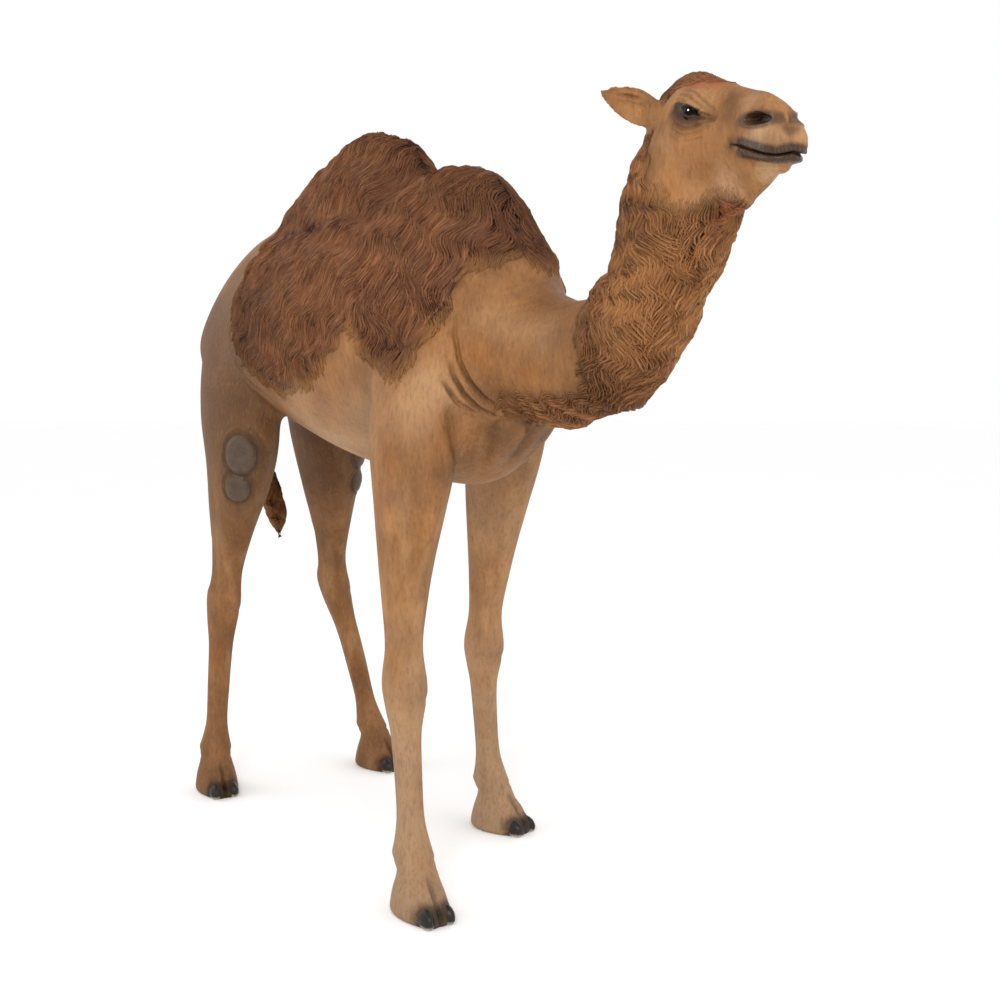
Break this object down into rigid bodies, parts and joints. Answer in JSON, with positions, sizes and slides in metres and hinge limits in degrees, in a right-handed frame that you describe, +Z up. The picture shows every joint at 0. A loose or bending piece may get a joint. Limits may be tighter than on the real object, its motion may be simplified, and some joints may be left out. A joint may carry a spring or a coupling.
{
  "type": "camel statue",
  "caption": "Life-size standing dromedary camel statue in painted glass fibre, with carved woolly hump and neck, four feet flat on the floor.",
  "frame": {"origin": "on the floor under the middle of the statue's box", "axes": "+X towards the animal's front, +Y towards its left, +Z up"},
  "size_m": [2.5486, 0.6726, 2.0036],
  "materials": {
    "hide_paint": "satin tan paint over glass fibre",
    "wool_paint": "matt brown paint over carved glass fibre",
    "foot_paint": "satin grey-brown paint over glass fibre",
    "horn_paint": "semi-gloss near-black paint",
    "eye_gloss": "gloss black",
    "leather_paint": "satin grey-brown paint"
  },
  "bodies": {
    "root": {"ear_left": "hide_paint", "ear_right": "hide_paint", "eye_left": "eye_gloss", "eye_right": "eye_gloss", "fore_left_foot": "foot_paint", "fore_left_lower": "hide_paint", "fore_left_nail_left": "horn_paint", "fore_left_nail_right": "horn_paint", "fore_left_upper": "hide_paint", "fore_right_foot": "foot_paint", "fore_right_lower": "hide_paint", "fore_right_nail_left": "horn_paint", "fore_right_nail_right": "horn_paint", "fore_right_upper": "hide_paint", "head": "hide_paint", "hind_left_foot": "foot_paint", "hind_left_lower": "hide_paint", "hind_left_nail_left": "horn_paint", "hind_left_nail_right": "horn_paint", "hind_left_upper": "hide_paint", "hind_right_foot": "foot_paint", "hind_right_lower": "hide_paint", "hind_right_nail_left": "horn_paint", "hind_right_nail_right": "horn_paint", "hind_right_upper": "hide_paint", "hump": "wool_paint", "neck_lower": "wool_paint", "neck_upper": "wool_paint", "stifle_pad_left_lower": "leather_paint", "stifle_pad_left_upper": "leather_paint", "stifle_pad_right_lower": "leather_paint", "stifle_pad_right_upper": "leather_paint", "tail": "wool_paint", "tail_tuft": "wool_paint", "trunk": "hide_paint"}
  },
  "joints": []
}
